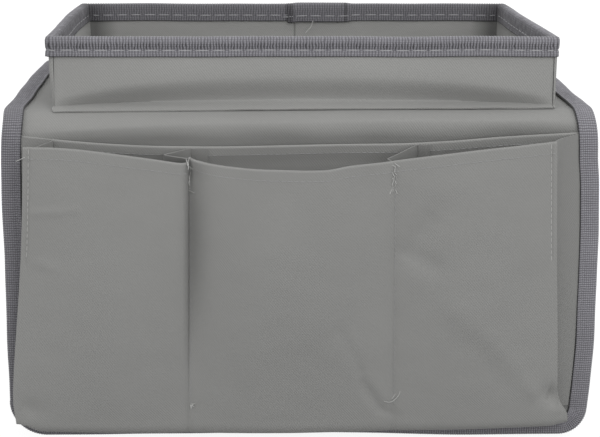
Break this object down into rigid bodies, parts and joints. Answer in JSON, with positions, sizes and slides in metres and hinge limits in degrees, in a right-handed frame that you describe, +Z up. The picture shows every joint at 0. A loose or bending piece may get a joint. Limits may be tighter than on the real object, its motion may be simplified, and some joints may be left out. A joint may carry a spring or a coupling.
{
  "type": "sofa armrest organizer",
  "caption": "Fabric saddle for a sofa armrest with a taped-edge open tray on top, two hanging flaps and pleated pockets in one panel on the front flap.",
  "frame": {"origin": "middle of the saddle top's flat underside, where it lies on the armrest", "axes": "+Z up, +X along the armrest organizer's width, -Y towards the front flap with the pockets"},
  "size_m": [0.33, 0.2364, 0.2276],
  "materials": {
    "grey_twill": "matt coated twill weave",
    "binding_tape": "ribbed woven tape",
    "lining_cloth": "matt plain weave",
    "stiffener_board": "plain board, sewn in"
  },
  "bodies": {
    "saddle": {"top_cover": "grey_twill", "top_board": "stiffener_board", "top_lining": "lining_cloth", "top_binding_left": "binding_tape", "top_binding_right": "binding_tape", "tray_binding": "binding_tape", "front_fold_cover": "grey_twill", "front_fold_lining": "lining_cloth", "front_fold_binding_left": "binding_tape", "front_fold_binding_right": "binding_tape", "back_fold_cover": "grey_twill", "back_fold_lining": "lining_cloth", "back_fold_binding_left": "binding_tape", "back_fold_binding_right": "binding_tape", "tray_front_outer": "grey_twill", "tray_front_board": "stiffener_board", "tray_front_inner": "grey_twill", "tray_back_outer": "grey_twill", "tray_back_board": "stiffener_board", "tray_back_inner": "grey_twill", "tray_left_outer": "grey_twill", "tray_left_board": "stiffener_board", "tray_left_inner": "grey_twill", "tray_right_outer": "grey_twill", "tray_right_board": "stiffener_board", "tray_right_inner": "grey_twill"},
    "front_flap": {"front_cover": "grey_twill", "front_board": "stiffener_board", "front_lining": "lining_cloth", "front_binding": "binding_tape", "pocket_backing": "grey_twill"},
    "back_flap": {"back_cover": "grey_twill", "back_board": "stiffener_board", "back_lining": "lining_cloth", "back_binding": "binding_tape"},
    "pocket_front": {"pocket_panel": "grey_twill", "gusset_left": "grey_twill", "gusset_right": "grey_twill", "divider_left": "grey_twill", "divider_right": "grey_twill"}
  },
  "joints": [
    {"name": "front_flap_fold", "type": "hinge", "parent": "saddle", "child": "front_flap", "pos_m": [0, -0.087, -0.0103], "axis": [-1, 0, 0], "range_deg": [-90, 75], "deforming": ["front_fold_cover", "front_fold_lining", "front_fold_binding_left", "front_fold_binding_right"]},
    {"name": "back_flap_fold", "type": "hinge", "parent": "saddle", "child": "back_flap", "pos_m": [0, 0.093, -0.0043], "axis": [1, 0, 0], "range_deg": [-90, 90], "deforming": ["back_fold_cover", "back_fold_lining", "back_fold_binding_left", "back_fold_binding_right"]},
    {"name": "pocket_mouth", "type": "hinge", "parent": "front_flap", "child": "pocket_front", "pos_m": [0, -0.1042, -0.1715], "axis": [1, 0, 0], "range_deg": [-5.5, 4.5], "deforming": ["gusset_left", "gusset_right", "divider_left", "divider_right"]}
  ]
}
